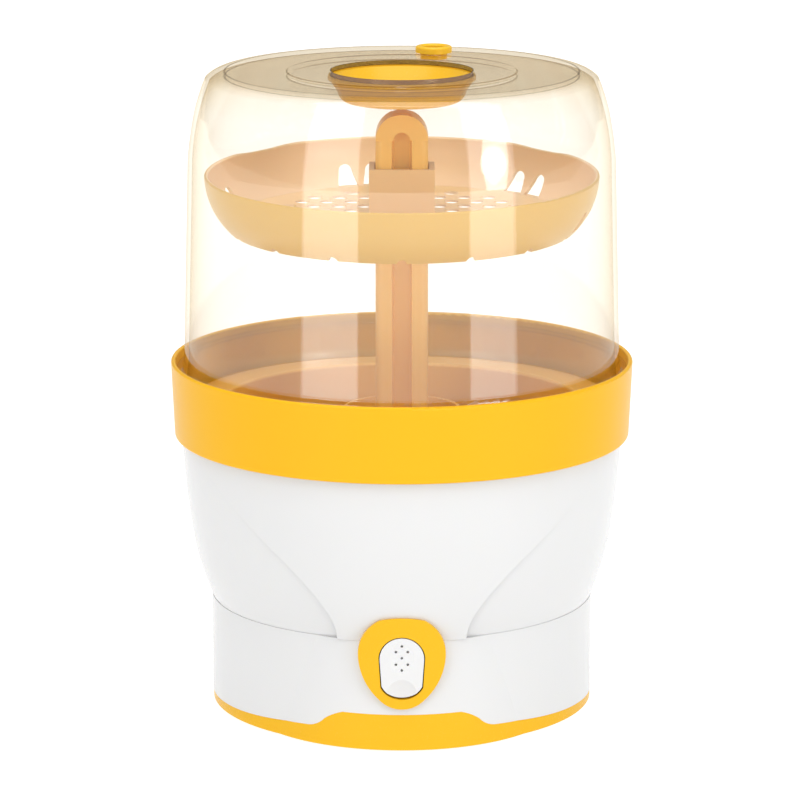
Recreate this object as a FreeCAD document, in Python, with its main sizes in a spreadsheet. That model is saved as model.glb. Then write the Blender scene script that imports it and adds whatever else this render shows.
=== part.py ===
"""Electric steam bottle sterilizer: base with heater, lift-out bottle rack, tray and clear cover.

Millimetres. The origin is the centre of the base on the surface it stands on, +Z up, front towards -Y.
"""
import FreeCAD, Part
import math
import os
import re

import Sketcher
from FreeCAD import Placement, Rotation, Vector

# Driving dimensions. Radii are named for the surface they give, and heights are above the table.
SIZES = {
    # walls
    "wall": 2.5,
    "thin": 2.2,
    "slack": 0.3,
    # white housing
    "foot_radius": 106.0,
    "lower_radius": 106.3,
    "shelf_height": 60.7,
    "scoop_foot_radius": 105.9,
    "scoop_low_radius": 112.3,
    "scoop_low_height": 78.0,
    "scoop_mid_radius": 116.9,
    "scoop_mid_height": 98.5,
    "scoop_high_radius": 120.0,
    "scoop_high_height": 121.5,
    "front_foot_radius": 109.0,
    "front_low_radius": 115.0,
    "front_low_height": 82.0,
    "front_mid_radius": 118.2,
    "front_mid_height": 100.0,
    "front_high_radius": 120.6,
    "front_high_height": 122.0,
    "neck_radius": 122.0,
    "neck_height": 148.0,
    "housing_top": 162.5,
    "chin_radius": 88.0,
    "chin_slope": 3.6,
    "chin_top": 60.5,
    "chin_middle": 25.0,
    "arch_foot_half": 102.9,
    "arch_belly_half": 106.3,
    "arch_belly_height": 80.0,
    "arch_knee_half": 97.3,
    "arch_knee_height": 107.0,
    "arch_top": 158.0,
    "boss_circle": 99.5,
    "boss_radius": 5.0,
    "boss_top": 50.0,
    "pilot_radius": 1.45,
    "gland_half": 8.0,
    "gland_lip_radius": 11.8,
    "gland_height": 17.0,
    "cord_radius": 3.6,
    # yellow foot
    "floor_low": 0.8,
    "floor_high": 3.6,
    "seam_side": 5.4,
    "seam_front": 10.4,
    "toe_height": 20.4,
    "toe_half": 32.0,
    "toe_bend_half": 42.0,
    "toe_foot_half": 52.0,
    "rubber_radius": 8.0,
    "rubber_circle": 84.0,
    "rubber_high": 2.0,
    # bezel and key
    "bezel_half": 23.65,
    "bezel_low": 23.9,
    "bezel_high": 74.8,
    "bezel_wide_height": 54.5,
    "bezel_back": 97.0,
    "bezel_front_radius": 88.0,
    "bezel_grow": 2.0,
    "key_half": 12.0,
    "key_low_half": 10.9,
    "key_low": 30.3,
    "key_high": 63.8,
    "key_shoulder": 11.8,
    "key_heel": 6.6,
    "key_gap": 0.55,
    "key_foot_gap": 1.1,
    "key_front": 114.5,
    "key_back": 105.0,
    "key_dot_radius": 0.75,
    "key_dot_rise": 6.7,
    "key_dot_across": 3.2,
    "key_dot_up": 3.5,
    "key_dot_height": 52.7,
    "dot_dish_radius": 60.0,
    "dot_dish_deep": 0.6,
    "pad_height": 32.0,
    "pad_dish_radius": 18.0,
    "pad_deep": 2.3,
    "stem_height": 34.0,
    "stem_length": 4.1,
    "touch_gap": 0.15,
    "plunger_radius": 1.7,
    "pivot_height": 58.5,
    "pivot_back": 103.2,
    "pivot_radius": 1.5,
    "pivot_clearance": 0.06,
    "lug_radius": 3.4,
    "ear_middle": 15.6,
    "ear_thick": 2.4,
    "well_half": 17.0,
    "well_low": 27.6,
    "well_high": 65.0,
    "spring_low": 27.1,
    "spring_bend": 34.0,
    "spring_high": 40.0,
    # yellow ring and basin
    "ring_low_radius": 126.2,
    "ring_radius": 128.0,
    "ring_low": 151.4,
    "ring_high": 193.6,
    "ledge_low": 163.6,
    "ledge_high": 166.3,
    "ledge_outer": 123.3,
    "basin_top_radius": 104.4,
    "basin_low_radius": 102.2,
    "basin_flange_radius": 116.0,
    "basin_floor": 92.0,
    "basin_mouth": 70.0,
    # heater
    "gasket_thick": 1.5,
    "plate_radius": 82.0,
    "plate_thick": 1.5,
    "clamp_inner": 72.0,
    "clamp_outer": 93.0,
    "clamp_screw_circle": 88.0,
    "spreader_radius": 62.0,
    "spreader_thick": 3.0,
    "element_circle": 50.0,
    "element_radius": 3.6,
    "element_angle": 315.0,
    # electronics in the foot
    "board_half": 32.0,
    "board_thick": 1.6,
    "board_height": 46.0,
    "board_face": 85.0,
    "board_lift": 2.2,
    "carrier_half": 35.0,
    "carrier_front": 92.0,
    "carrier_deep": 16.0,
    "carrier_post": 50.0,
    "switch_half": 4.0,
    "switch_deep": 6.0,
    "lamp_height": 47.0,
    "relay_across": 6.0,
    "relay_wide": 19.0,
    "relay_deep": 15.5,
    "relay_low": 20.0,
    "can_radius": 5.0,
    "can_long": 12.0,
    "can_across": 18.0,
    "can_height": 26.0,
    "clamp_half": 13.0,
    "clamp_near": 78.0,
    "clamp_deep": 9.0,
    "clamp_high": 20.0,
    "clamp_bolt": 9.0,
    "terminal_half": 15.0,
    "terminal_near": 56.0,
    "terminal_deep": 14.0,
    "terminal_high": 12.0,
    "terminal_pitch": 9.0,
    "lead_radius": 1.3,
    "earth_radius": 1.1,
    # rack and column
    "rack_floor_low": 110.0,
    "rack_floor_high": 112.5,
    "rack_flange_radius": 118.5,
    "rack_flange_low": 166.5,
    "rack_top_radius": 102.4,
    "rack_low_radius": 100.4,
    "rack_ledge_radius": 95.0,
    "rack_ledge_thick": 1.6,
    "seat_circle": 66.0,
    "seat_radius": 31.6,
    "seat_wall": 2.0,
    "seat_high": 150.0,
    "seat_arc_inner": 62.0,
    "cradle_radius": 96.4,
    "seat_hole_radius": 15.0,
    "drain_circle": 90.0,
    "drain_radius": 4.5,
    "rib_thick": 2.4,
    "rib_high": 8.0,
    "rib_reach": 92.0,
    "column_screw_hole": 2.4,
    "hub_radius": 21.0,
    "hub_high": 124.0,
    "column_half": 14.5,
    "column_depth": 10.5,
    "column_stop_depth": 12.6,
    "column_high": 331.0,
    "column_corner": 4.0,
    "column_pilot_radius": 1.8,
    "groove_half": 4.6,
    "groove_depth": 6.0,
    "stop_height": 264.2,
    # tray
    "tray_low": 267.1,
    "tray_floor_low": 269.9,
    "tray_floor_high": 271.0,
    "tray_high": 297.2,
    "tray_dip": 1.6,
    "tray_foot_radius": 95.5,
    "tray_ledge_radius": 90.0,
    "tray_floor_radius": 95.6,
    "tray_belly_radius": 103.8,
    "tray_belly_height": 278.0,
    "tray_radius": 108.7,
    "tray_hole_radius": 4.1,
    "tray_hole_pitch": 14.0,
    "tray_window_high": 282.5,
    "tray_tilt_height": 280.0,
    "sleeve_half": 18.0,
    "sleeve_depth": 14.5,
    "sleeve_low": 264.5,
    "sleeve_collar": 3.0,
    "sleeve_collar_high": 269.1,
    "sleeve_high": 301.0,
    "sleeve_gap": 0.5,
    # clear cover
    "cover_low": 166.6,
    "cover_skirt_radius": 121.6,
    "cover_flange_radius": 124.9,
    "cover_flange_low": 187.6,
    "cover_flange_high": 190.4,
    "cover_low_radius": 120.6,
    "cover_shoulder_radius": 117.6,
    "cover_shoulder_height": 306.0,
    "cover_bend_radius": 113.7,
    "cover_bend_height": 332.0,
    "cover_edge_radius": 107.8,
    "cover_edge_height": 350.0,
    "cover_crest_radius": 97.0,
    "cover_top": 353.9,
    "step_radius": 63.0,
    "step_rise": 0.9,
    "dish_depth": 0.7,
    "grip_hole_radius": 38.8,
    # grip and vent
    "seal_thick": 0.8,
    "grip_mouth_radius": 38.3,
    "grip_flange_radius": 40.6,
    "grip_flange_thick": 1.6,
    "grip_floor": 338.8,
    "grip_floor_radius": 28.0,
    "bar_half": 6.0,
    "bar_high": 346.2,
    "vent_across": 18.0,
    "vent_back": 73.0,
    "vent_radius": 10.3,
    "vent_bore": 6.0,
    "vent_top": 357.6,
    "vent_neck": 7.6,
}

# The tray's bowl stands about 3 mm higher at the back than at its middle.
TRAY_TILT = 1.75

doc = FreeCAD.newDocument("bottle_sterilizer")
nodes = []


def ref(expression):
    """Gives an expression with each driving dimension read from the sheet."""
    return re.sub(
        r"[a-z][a-z_0-9]*",
        lambda word: "Sizes." + word.group() if word.group() in SIZES else word.group(),
        str(expression),
    )


def value(expression):
    """The number that an expression has now."""
    return float(doc.getObject("Sizes").evalExpression(ref(expression)))


def make_sheet():
    """Writes the driving dimensions to the spreadsheet, one per row."""
    sheet = doc.addObject("Spreadsheet::Sheet", "Sizes")
    for row, (name, number) in enumerate(SIZES.items(), start=1):
        sheet.set("A%d" % row, name)
        sheet.set("B%d" % row, str(number))
        sheet.setAlias("B%d" % row, name)
    doc.recompute()


# Shapes that the pieces share


def fix_point(sketch, shape, end, across, along):
    """Ties a point of a sketch to two expressions."""
    for kind, expression in (("DistanceX", across), ("DistanceY", along)):
        rule = Sketcher.Constraint(kind, -1, 1, shape, end, value(expression))
        index = sketch.addConstraint(rule)
        sketch.setExpression("Constraints[%d]" % index, ref(expression))


def add_arc(sketch, start, via, stop):
    """Adds an arc through a middle point, and gives its index and the end that is at start."""
    middle = Vector(value(via[0]), value(via[1]), 0)
    arc = sketch.addGeometry(Part.Arc(start, middle, stop))
    mark = sketch.addGeometry(Part.Point(middle), True)
    sketch.addConstraint(Sketcher.Constraint("PointOnObject", mark, 1, arc))
    fix_point(sketch, mark, 1, *via)
    first = 1 if sketch.getPoint(arc, 1).distanceToPoint(start) < 1e-6 else 2
    return arc, first


def outline(sketch, corners):
    """Closes a loop through the corners. A corner of four numbers is reached by an arc, the first two its middle."""
    points = [Vector(value(c[-2]), value(c[-1]), 0) for c in corners]
    edges = []
    for here, corner in enumerate(corners):
        there = (here + 1) % len(corners)
        target = corners[there]
        if len(target) == 4:
            edges.append(add_arc(sketch, points[here], target[:2], points[there]))
        else:
            edges.append((sketch.addGeometry(Part.LineSegment(points[here], points[there])), 1))
    for here, (edge, end) in enumerate(edges):
        after, start = edges[(here + 1) % len(edges)]
        sketch.addConstraint(Sketcher.Constraint("Coincident", edge, 3 - end, after, start))
        fix_point(sketch, edge, end, *corners[here][-2:])


def new_sketch(body, role, offset="0"):
    """A sketch on one of a body's own planes, moved along its normal."""
    plane = next(item for item in body.Origin.OriginFeatures if item.Role == role)
    sketch = body.newObject("Sketcher::SketchObject", body.Name + "_outline")
    sketch.AttachmentSupport = [(plane, "")]
    sketch.MapMode = "FlatFace"
    sketch.setExpression("AttachmentOffset.Base.z", ref(offset))
    return sketch


def turned(name, corners):
    """A body turned round the Z axis from an outline of radius and height."""
    body = doc.addObject("PartDesign::Body", name)
    sketch = new_sketch(body, "XZ_Plane")
    outline(sketch, corners)
    feature = body.newObject("PartDesign::Revolution", name + "_turn")
    feature.Profile = sketch
    feature.ReferenceAxis = (sketch, ["V_Axis"])
    feature.Angle = 360
    return body


def prism(name, role, corners, low, high):
    """A body padded from an outline between two places along its plane's axis."""
    body = doc.addObject("PartDesign::Body", name)
    start = "-(%s)" % high if role == "XZ_Plane" else low
    sketch = new_sketch(body, role, start)
    outline(sketch, corners)
    feature = body.newObject("PartDesign::Pad", name + "_pad")
    feature.Profile = sketch
    feature.setExpression("Length", ref("(%s) - (%s)" % (high, low)))
    return body


def place(item, at, turn=None):
    """Puts a primitive at a place given by three expressions."""
    if turn:
        item.Placement = Placement(Vector(), turn)
    for axis, expression in zip("xyz", at):
        item.setExpression("Placement.Base." + axis, ref(expression))
    return item


ALONG_Y = Rotation(Vector(1, 0, 0), -90)
ALONG_X = Rotation(Vector(0, 1, 0), 90)


def rod(name, radius, length, at, turn=None):
    """A round bar that starts at a place and runs up, or along its turn."""
    item = doc.addObject("Part::Cylinder", name)
    item.setExpression("Radius", ref(radius))
    item.setExpression("Height", ref(length))
    return place(item, at, turn)


def block(name, size, at, turn=None):
    """A box of three lengths whose lowest corner is at a place."""
    item = doc.addObject("Part::Box", name)
    for side, expression in zip(("Length", "Width", "Height"), size):
        item.setExpression(side, ref(expression))
    return place(item, at, turn)


def cone(name, low_radius, high_radius, height, at):
    """An upright frustum."""
    item = doc.addObject("Part::Cone", name)
    item.setExpression("Radius1", ref(low_radius))
    item.setExpression("Radius2", ref(high_radius))
    item.setExpression("Height", ref(height))
    return place(item, at)


def join(name, items):
    """The union of several shapes."""
    item = doc.addObject("Part::MultiFuse", name)
    item.Shapes = items
    return item


def group(name, items):
    """Separate solids kept side by side."""
    item = doc.addObject("Part::Compound", name)
    item.Links = items
    return item


def cut(name, base, tools):
    """A shape less one or more tools."""
    item = doc.addObject("Part::Cut", name)
    item.Base = base
    item.Tool = tools[0] if len(tools) == 1 else join(name + "_tools", tools)
    return item


def overlap(name, items):
    """The space that shapes share."""
    item = doc.addObject("Part::MultiCommon", name)
    item.Shapes = items
    return item


def on_circle(radius, angle):
    """Expressions for a point on a circle about the Z axis."""
    return "(%s) * cos(%s)" % (radius, angle), "(%s) * sin(%s)" % (radius, angle)


def spin(item, angle):
    """Turns a shape built along +X about the Z axis of the object."""
    item.Placement = Placement(Vector(), Rotation(Vector(0, 0, 1), angle)).multiply(item.Placement)
    return item


def spin_group(name, item, angle):
    """Turns a shape with a bound place, built along +X, about the Z axis of the object."""
    holder = group(name, [item])
    holder.Placement = Placement(Vector(), Rotation(Vector(0, 0, 1), angle))
    return holder


def radial_block(name, start, length, width, low, height, angle):
    """A block whose middle plane is radial, from one radius outwards."""
    body = prism(
        name,
        "XY_Plane",
        [
            (start, "-(%s) / 2" % width),
            ("(%s) + (%s)" % (start, length), "-(%s) / 2" % width),
            ("(%s) + (%s)" % (start, length), "(%s) / 2" % width),
            (start, "(%s) / 2" % width),
        ],
        low,
        "(%s) + (%s)" % (low, height),
    )
    return spin(body, angle)


def keep(item, label):
    """Names a finished sub-part."""
    item.Label = label
    nodes.append(item)
    return item


# White housing and yellow foot


def seam_region():
    """The space below the seam between the foot and the housing, with the toe's raised outline."""
    side = [
        ("-130", "-5"),
        ("130", "-5"),
        ("130", "seam_side"),
        ("lower_radius", "seam_side"),
        ("0.83 * lower_radius", "seam_side + 1.6", "toe_foot_half", "seam_front"),
        ("toe_foot_half - 5.8", "seam_front + 1.5", "toe_bend_half", "(seam_front + toe_height) / 2"),
        ("toe_half + 4.2", "toe_height - 1.5", "toe_half", "toe_height"),
        ("-toe_half", "toe_height"),
        ("-toe_half - 4.2", "toe_height - 1.5", "-toe_bend_half", "(seam_front + toe_height) / 2"),
        ("-toe_foot_half + 5.8", "seam_front + 1.5", "-toe_foot_half", "seam_front"),
        ("-0.83 * lower_radius", "seam_side + 1.6", "-lower_radius", "seam_side"),
        ("-130", "seam_side"),
    ]
    front = prism("seam_front_region", "XZ_Plane", side, "-130", "0")
    back = block("seam_back_region", ("260", "130", "seam_side + 5"), ("-130", "0", "-5"))
    return join("seam_region", [front, back])


def chin(name, inset, top):
    """The forward bulge low on the front, leaning back as it rises."""
    lean = "chin_slope / chin_top"
    return cone(
        name,
        "chin_radius - (%s)" % inset,
        "chin_radius - (%s) - (%s) * (%s)" % (inset, top, lean),
        top,
        ("0", "-chin_middle", "0"),
    )


def egg(name, grow, back, front):
    """The egg-shaped outline of the key's surround, widest above its middle."""
    half = "(bezel_half + (%s))" % grow
    low = "(bezel_low - (%s))" % grow
    high = "(bezel_high + (%s))" % grow
    corners = [
        ("-0.83 * " + half, high + " - 8.2", "-" + half, "bezel_wide_height"),
        ("-0.86 * " + half, low + " + 16.1", "-0.52 * " + half, low + " + 5.3"),
        ("0", low, "0.52 * " + half, low + " + 5.3"),
        ("0.86 * " + half, low + " + 16.1", half, "bezel_wide_height"),
        ("0.83 * " + half, high + " - 8.2", "0.51 * " + half, high + " - 1.4"),
        ("0", high, "-0.51 * " + half, high + " - 1.4"),
    ]
    return prism(name, "XZ_Plane", corners, front, back)


def slot_prism(name, half, low, high, front, back):
    """An upright slot outline with round ends, from one depth to another."""
    corners = [
        ("0", high, "-(%s)" % half, "(%s) - (%s)" % (high, half)),
        ("-(%s)" % half, "(%s) + (%s)" % (low, half)),
        ("0", low, half, "(%s) + (%s)" % (low, half)),
        (half, "(%s) - (%s)" % (high, half)),
    ]
    return prism(name, "XZ_Plane", corners, front, back)


def side_form(name, inset):
    """The housing's shape at the hand-grip scoops, or the same moved inwards by a wall."""
    inner = " - (%s)" % inset
    return turned(
        name,
        [
            ("0", "0"),
            ("lower_radius" + inner, "0"),
            ("lower_radius" + inner, "shelf_height" + inner),
            ("scoop_foot_radius" + inner, "shelf_height" + inner),
            ("scoop_low_radius" + inner, "scoop_low_height", "scoop_mid_radius" + inner, "scoop_mid_height"),
            ("scoop_high_radius" + inner, "scoop_high_height", "neck_radius" + inner, "neck_height"),
            ("neck_radius + 0.4" + inner, "housing_top"),
            ("0", "housing_top"),
        ],
    )


def front_form():
    """The fuller front and back of the housing, between the scoops."""
    full = turned(
        "front_full",
        [
            ("60", "chin_top"),
            ("front_foot_radius", "chin_top"),
            ("front_low_radius", "front_low_height", "front_mid_radius", "front_mid_height"),
            ("front_high_radius", "front_high_height", "neck_radius", "neck_height"),
            ("neck_radius + 0.2", "neck_height + 8"),
            ("60", "neck_height + 8"),
        ],
    )
    arch = prism(
        "scoop_arch",
        "YZ_Plane",
        [
            ("0", "arch_top", "-arch_knee_half", "arch_knee_height"),
            ("-arch_belly_half", "arch_belly_height", "-arch_foot_half", "chin_top - 1"),
            ("arch_foot_half", "chin_top - 1"),
            ("arch_belly_half", "arch_belly_height", "arch_knee_half", "arch_knee_height"),
        ],
        "-140",
        "140",
    )
    return cut("front_panels", full, [arch])


def base_shell(seam):
    """The white housing: a thin wall round its form, open below, with bosses for the foot's screws."""
    forms = [side_form("scooped_form", "0"), front_form(), chin("shell_chin", "0", "chin_top")]
    outside = join("shell_outside", forms)
    inside = [side_form("shell_inside", "wall"), chin("chin_inside", "wall", "chin_top - wall")]
    wall = cut("shell_wall", outside, [join("shell_hollow", inside)])
    bosses = []
    pilots = []
    for number in range(4):
        x, y = on_circle("boss_circle", 45 + 90 * number)
        bosses.append(rod("boss_%d" % number, "boss_radius", "boss_top - floor_high", (x, y, "floor_high")))
        pilots.append(rod("pilot_%d" % number, "pilot_radius", "22 - floor_high", (x, y, "floor_high")))
    whole = join("shell_with_bosses", [wall] + bosses)
    window = egg("bezel_window", "0", "-130", "-bezel_back")
    notch = block(
        "gland_notch",
        ("2 * (gland_half + slack)", "20", "gland_height + gland_half + slack"),
        ("-gland_half - slack", "lower_radius - 12", "0"),
    )
    return keep(cut("base_shell_body", whole, [seam, window, notch] + pilots), "base_shell")


def bottom_cover(seam):
    """The yellow foot: a floor with a low wall that rises to the toe, and a tongue under the cord's bush."""
    drum = rod("foot_drum", "foot_radius", "toe_height + 5", ("0", "0", "floor_low"))
    toe = chin("foot_chin", "0", "chin_top")
    rim = overlap("foot_solid", [join("foot_form", [drum, toe]), seam])
    floor = rod("foot_floor", "lower_radius - wall - slack", "floor_high - floor_low", ("0", "0", "floor_low"))
    tongue_form = block(
        "tongue_form",
        ("2 * gland_half", "10", "gland_height - gland_half - slack - floor_low"),
        ("-gland_half", "foot_radius - 5", "floor_low"),
    )
    tongue = overlap("gland_tongue", [tongue_form, drum])
    room = rod("foot_room", "foot_radius - wall", "40", ("0", "0", "floor_high"))
    toe_slice = block("toe_slice", ("240", "240", "40"), ("-120", "-120", "floor_high"))
    toe_room = overlap("toe_room", [chin("toe_inside", "wall", "chin_top"), toe_slice])
    below = block("below_foot", ("260", "260", "5"), ("-130", "-130", "floor_low - 5"))
    tools = [below]
    for number in range(4):
        x, y = on_circle("boss_circle", 45 + 90 * number)
        tools.append(rod("foot_hole_%d" % number, "pilot_radius + 0.25", "10", (x, y, "floor_low - 1")))
        tools.append(rod("head_recess_%d" % number, "3.6", "1.6", (x, y, "floor_low - 0.1")))
        x, y = on_circle("rubber_circle", 45 + 90 * number)
        depth = "rubber_high - floor_low + 1"
        tools.append(rod("rubber_recess_%d" % number, "rubber_radius", depth, (x, y, "floor_low - 1")))
    hollowed = cut("foot_hollowed", rim, [join("foot_hollow", [room, toe_room])])
    whole = join("foot_whole", [hollowed, floor, tongue])
    return keep(cut("bottom_cover_body", whole, tools), "bottom_cover")


def rubber_feet():
    """Four soft discs pressed into the foot."""
    feet = []
    for number in range(4):
        x, y = on_circle("rubber_circle", 45 + 90 * number)
        feet.append(rod("rubber_foot_%d" % number, "rubber_radius", "rubber_high", (x, y, "0")))
    return keep(group("rubber_feet_set", feet), "rubber_feet")


def screw(name, head_radius, head_height, shank_radius, length, at, point_up=True):
    """A pan-head screw whose head's outer face is at a place."""
    x, y, z = at
    head = rod(name + "_head", head_radius, head_height, at)
    shank_at = (x, y, "(%s) + (%s)" % (z, head_height))
    if not point_up:
        head = rod(name + "_cap", head_radius, head_height, (x, y, "(%s) - (%s)" % (z, head_height)))
        shank_at = (x, y, "(%s) - (%s) - (%s)" % (z, head_height, length))
    shank = rod(name + "_shank", shank_radius, length, shank_at)
    return join(name, [head, shank])


def bottom_screws():
    """Four screws up through the foot into the housing's bosses."""
    screws = []
    for number in range(4):
        x, y = on_circle("boss_circle", 45 + 90 * number)
        screws.append(screw("bottom_screw_%d" % number, "3.4", "1.4", "pilot_radius", "17", (x, y, "floor_low")))
    return keep(group("bottom_screw_set", screws), "bottom_screws")


# Key and its surround


def key_outline(name, gap, foot_gap, front, back):
    """The key's outline: a round head, sides that draw in a little and a flatter heel, all grown by a gap."""
    low = "(key_low - (%s))" % foot_gap
    high = "(key_high + (%s))" % gap
    wide = "(key_half + (%s))" % gap
    narrow = "(key_low_half + (%s))" % gap
    corners = [
        ("0", high, "-" + wide, high + " - key_shoulder"),
        ("-" + narrow, low + " + key_heel"),
        ("0", low, narrow, low + " + key_heel"),
        (wide, high + " - key_shoulder"),
    ]
    return prism(name, "XZ_Plane", corners, front, back)


def button_bezel():
    """The egg-shaped surround, crowned to follow the front, with ears for the key's pin."""
    plug = egg("bezel_plug", "0", "-130", "-bezel_back")
    crown = cone(
        "bezel_crown",
        "bezel_front_radius",
        "bezel_front_radius + bezel_grow",
        "80",
        ("0", "-chin_middle", "0"),
    )
    body = overlap("bezel_form", [plug, crown])
    window = key_outline("key_window", "key_gap", "key_foot_gap", "-130", "-bezel_back + 10")
    well = block(
        "bezel_well",
        ("2 * well_half", "14", "well_high - well_low"),
        ("-well_half", "-bezel_back - 10.4", "well_low"),
    )
    ears = []
    for side in (-1, 1):
        at = ("ear_middle * %d - ear_thick / 2" % side, "-pivot_back - 5", "pivot_height - 4.5")
        ears.append(block("ear_%d" % (side + 1), ("ear_thick", "12", "9"), at))
    bore = rod("ear_bore", "pivot_radius", "40", ("-20", "-pivot_back", "pivot_height"), ALONG_X)
    ring = cut("bezel_ring", body, [window, well])
    return keep(cut("button_bezel_body", join("bezel_with_ears", [ring] + ears), [bore]), "button_bezel")


def pivot_pin():
    """The steel pin that the key rocks on."""
    at = ("-well_half", "-pivot_back", "pivot_height")
    return keep(rod("pivot_pin_body", "pivot_radius", "2 * well_half", at, ALONG_X), "pivot_pin")


def key_dish(name, radius, deep, height):
    """A ball that leaves a shallow dish in the key's front."""
    ball = doc.addObject("Part::Sphere", name)
    ball.setExpression("Radius", ref(radius))
    return place(ball, ("0", "-key_front - (%s) + (%s)" % (radius, deep), height))


def power_key():
    """The white key: a crowned cap, dished round its light holes and again at its heel, on a lug round its pin."""
    cap = key_outline("key_cap", "0", "0", "-key_front - 4", "-key_back")
    crown_radius = "key_front - chin_middle"
    crown = cone("key_crown", crown_radius, crown_radius, "80", ("0", "-chin_middle", "0"))
    lug = rod("key_lug", "lug_radius", "18", ("-9", "-pivot_back", "pivot_height"), ALONG_X)
    stem = rod("key_stem", "2.4", "stem_length + 0.5", ("0", "-key_back - 0.5", "stem_height"), ALONG_Y)
    body = join("key_form", [overlap("key_shell", [cap, crown]), lug, stem])
    bore_at = ("-20", "-pivot_back", "pivot_height")
    tools = [
        key_dish("dot_dish", "dot_dish_radius", "dot_dish_deep", "key_dot_height"),
        key_dish("pad_dish", "pad_dish_radius", "pad_deep", "pad_height"),
        rod("lug_bore", "pivot_radius + pivot_clearance", "40", bore_at, ALONG_X),
    ]
    spots = [("0", "0"), ("0", "key_dot_rise"), ("0", "-key_dot_rise")]
    spots += [("%skey_dot_across" % side, "%skey_dot_up" % rise) for side in ("", "-") for rise in ("", "-")]
    for number, (across, up) in enumerate(spots):
        at = (across, "-key_front - 1", "key_dot_height + (%s)" % up)
        tools.append(rod("light_hole_%d" % number, "key_dot_radius", "3.5", at, ALONG_Y))
    return keep(cut("power_key_body", body, tools), "power_key")


# Yellow ring, basin and heater


def rim_ring():
    """The yellow ring round the top of the housing, with the inner ledge that the cover and the rack sit on."""
    profile = [
        ("ring_low_radius - wall", "ring_low"),
        ("ring_low_radius - 1.2", "ring_low"),
        ("ring_low_radius - 0.3", "ring_low + 0.4", "ring_low_radius + 0.05", "ring_low + 1.3"),
        ("ring_radius", "ring_high - 1.6"),
        ("ring_radius - 1.3", "ring_high", "ring_radius - wall - 0.1", "ring_high - 1.6"),
        ("ledge_outer", "ledge_high + 2"),
        ("ledge_outer - 0.6", "ledge_high + 0.6", "ledge_outer - 2", "ledge_high"),
        ("basin_top_radius + wall + slack", "ledge_high"),
        ("basin_top_radius + wall + slack", "ledge_low"),
        ("neck_radius - wall - 2", "ledge_low"),
        ("neck_radius - wall - 2", "housing_top"),
        ("ring_low_radius - wall + 0.4", "housing_top"),
    ]
    return keep(turned("rim_ring_body", profile), "rim_ring")


def water_basin():
    """The steam basin, hung by its flange under the ring's ledge, open below for the heating plate."""
    profile = [
        ("basin_top_radius + 1.2", "ledge_high"),
        ("basin_top_radius + 0.3", "ledge_high - 0.3", "basin_top_radius", "ledge_high - 1.2"),
        ("basin_low_radius", "basin_floor + 3"),
        ("basin_low_radius - 0.9", "basin_floor + 0.9", "basin_low_radius - 3", "basin_floor"),
        ("basin_mouth", "basin_floor"),
        ("basin_mouth", "basin_floor - wall"),
        ("basin_low_radius + wall", "basin_floor - wall"),
        ("basin_top_radius + wall", "ledge_low - wall"),
        ("basin_flange_radius", "ledge_low - wall"),
        ("basin_flange_radius", "ledge_low"),
        ("basin_top_radius + wall", "ledge_low"),
        ("basin_top_radius + wall", "ledge_high"),
    ]
    body = turned("basin_turned", profile)
    bosses = []
    pilots = []
    for number in range(6):
        x, y = on_circle("clamp_screw_circle", 30 + 60 * number)
        top = "basin_floor - wall - gasket_thick - plate_thick"
        bosses.append(rod("clamp_boss_%d" % number, "3.4", "gasket_thick + plate_thick + 0.4", (x, y, top)))
        pilots.append(rod("clamp_pilot_%d" % number, "1.2", "gasket_thick + plate_thick + 1.4", (x, y, top)))
    return keep(cut("water_basin_body", join("basin_with_bosses", [body] + bosses), pilots), "water_basin")


def plate_gasket():
    """The rubber ring that seals the plate under the basin's floor."""
    low = "basin_floor - wall - gasket_thick"
    outer = rod("gasket_disc", "plate_radius", "gasket_thick", ("0", "0", low))
    inner = rod("gasket_mouth", "basin_mouth + 1", "10", ("0", "0", low + " - 3"))
    return keep(cut("plate_gasket_body", outer, [inner]), "plate_gasket")


def heating_plate():
    """The steel plate that boils the water, dished a little round its edge."""
    high = "basin_floor - wall - gasket_thick"
    profile = [
        ("0", high + " - plate_thick - 0.8"),
        ("basin_mouth - 8", high + " - plate_thick - 0.8"),
        ("basin_mouth - 4", high + " - plate_thick"),
        ("plate_radius", high + " - plate_thick"),
        ("plate_radius", high),
        ("basin_mouth - 4", high),
        ("basin_mouth - 8", high + " - 0.8"),
        ("0", high + " - 0.8"),
    ]
    return keep(turned("heating_plate_body", profile), "heating_plate")


def plate_clamp_ring():
    """The steel ring that clamps the plate and gasket to the basin."""
    high = "basin_floor - wall - gasket_thick - plate_thick"
    outer = rod("clamp_disc", "clamp_outer", "1.5", ("0", "0", high + " - 1.5"))
    tools = [rod("clamp_mouth", "clamp_inner", "10", ("0", "0", high + " - 5"))]
    for number in range(6):
        x, y = on_circle("clamp_screw_circle", 30 + 60 * number)
        tools.append(rod("clamp_hole_%d" % number, "1.6", "10", (x, y, high + " - 5")))
    return keep(cut("plate_clamp_ring_body", outer, tools), "plate_clamp_ring")


def plate_screws():
    """Six short screws up through the clamp ring."""
    low = "basin_floor - wall - gasket_thick - plate_thick - 1.5 - 1.8"
    screws = []
    for number in range(6):
        x, y = on_circle("clamp_screw_circle", 30 + 60 * number)
        screws.append(screw("plate_screw_%d" % number, "2.8", "1.8", "1.2", "5", (x, y, low)))
    return keep(group("plate_screw_set", screws), "plate_screws")


PLATE_UNDERSIDE = "(basin_floor - wall - gasket_thick - plate_thick - 0.8)"


def heat_spreader():
    """The aluminium disc that carries the heat from the element to the plate."""
    low = PLATE_UNDERSIDE + " - spreader_thick"
    disc = rod("spreader_disc", "spreader_radius - 1", "spreader_thick", ("0", "0", low))
    return keep(disc, "heat_spreader")


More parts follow.
